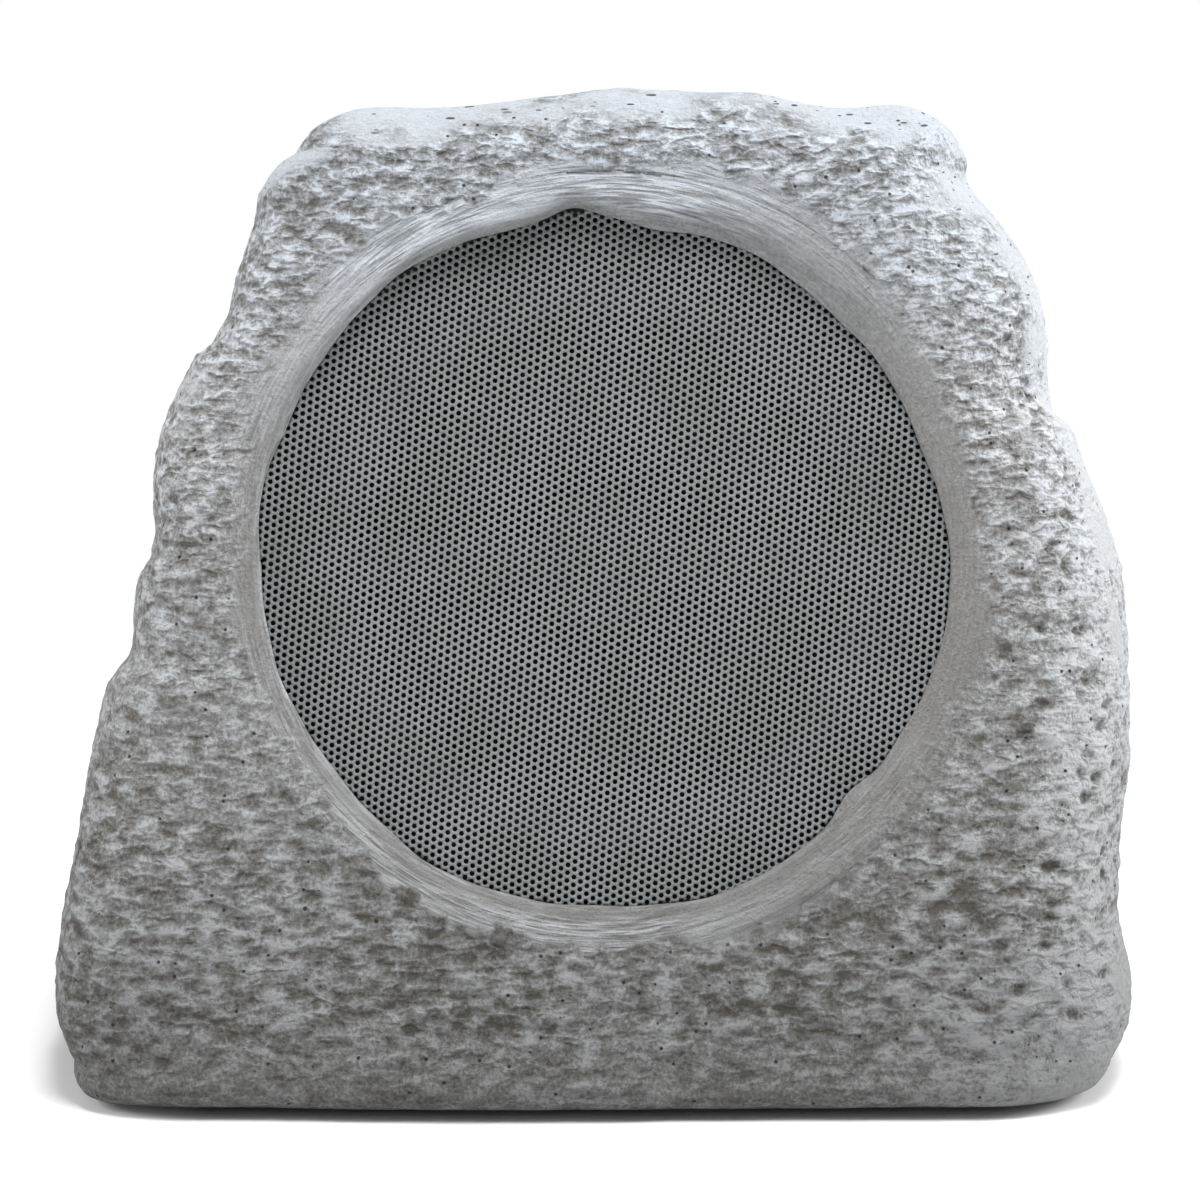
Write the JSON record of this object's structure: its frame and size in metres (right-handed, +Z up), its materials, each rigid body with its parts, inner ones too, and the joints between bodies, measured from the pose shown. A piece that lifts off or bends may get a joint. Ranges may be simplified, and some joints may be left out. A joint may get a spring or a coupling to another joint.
{
  "type": "rock shaped garden speaker",
  "caption": "Hollow cast rock loudspeaker housing with a round perforated grille in its leaning front, a sprung cone behind it and rubber feet under a screwed base.",
  "frame": {"origin": "on the ground under the middle of the box round the speaker", "axes": "+Z up, the front with the grille faces -Y, +X to the right seen from the front"},
  "size_m": [0.3219, 0.2539, 0.2853],
  "materials": {
    "rock": "cast stone texture, matt",
    "grille_paint": "mottled stone paint, matt",
    "foam": "closed cell foam, matt",
    "black_plastic": "fine moulded grain",
    "zinc_steel": "zinc plated",
    "basket_paint": "black powder coat",
    "cone_plastic": "pressed polypropylene",
    "rubber": "matt rubber",
    "spider_cloth": "resin treated cotton",
    "former_foil": "rolled foil",
    "copper": "enamelled copper wire",
    "ferrite": "ground ferrite",
    "tinned_brass": "tinned",
    "board": "hard paper laminate",
    "film_capacitor": "wrapped film",
    "lead_jacket": "flexible vinyl jacket"
  },
  "bodies": {
    "housing": {"back_plate": "zinc_steel", "baffle_ring": "black_plastic", "baffle_screws": "zinc_steel", "base_gasket": "foam", "base_plate": "black_plastic", "base_screws": "zinc_steel", "basket": "basket_paint", "bridge_screws": "zinc_steel", "crossover_board": "board", "crossover_capacitor": "film_capacitor", "crossover_screws": "zinc_steel", "driver_gasket": "foam", "driver_screws": "zinc_steel", "foot_front_left": "rubber", "foot_front_right": "rubber", "foot_rear_left": "rubber", "foot_rear_right": "rubber", "foot_screws": "zinc_steel", "gland_body": "black_plastic", "gland_locknut": "black_plastic", "gland_nut": "black_plastic", "gland_seal": "rubber", "grille": "grille_paint", "grille_gasket": "foam", "inductor_bobbin": "black_plastic", "inductor_winding": "copper", "magnet": "ferrite", "rock_shell": "rock", "spider": "spider_cloth", "surround": "rubber", "terminal_lugs": "tinned_brass", "terminal_strip": "board", "tinsel_leads": "copper", "top_plate": "zinc_steel", "tweeter_bridge": "black_plastic", "tweeter_capsule": "black_plastic", "tweeter_lead": "lead_jacket", "woofer_lead": "lead_jacket"},
    "cone_assembly": {"cone": "cone_plastic", "dust_cap": "cone_plastic", "coil_former": "former_foil", "coil_winding": "copper"}
  },
  "joints": [
    {"name": "cone_travel", "type": "slide", "parent": "housing", "child": "cone_assembly", "axis": [0, -0.9703, 0.2419], "range_m": [-0.003, 0.003], "stiffness_N_per_m": 1700, "deforming": ["surround", "spider", "tinsel_leads"]}
  ]
}
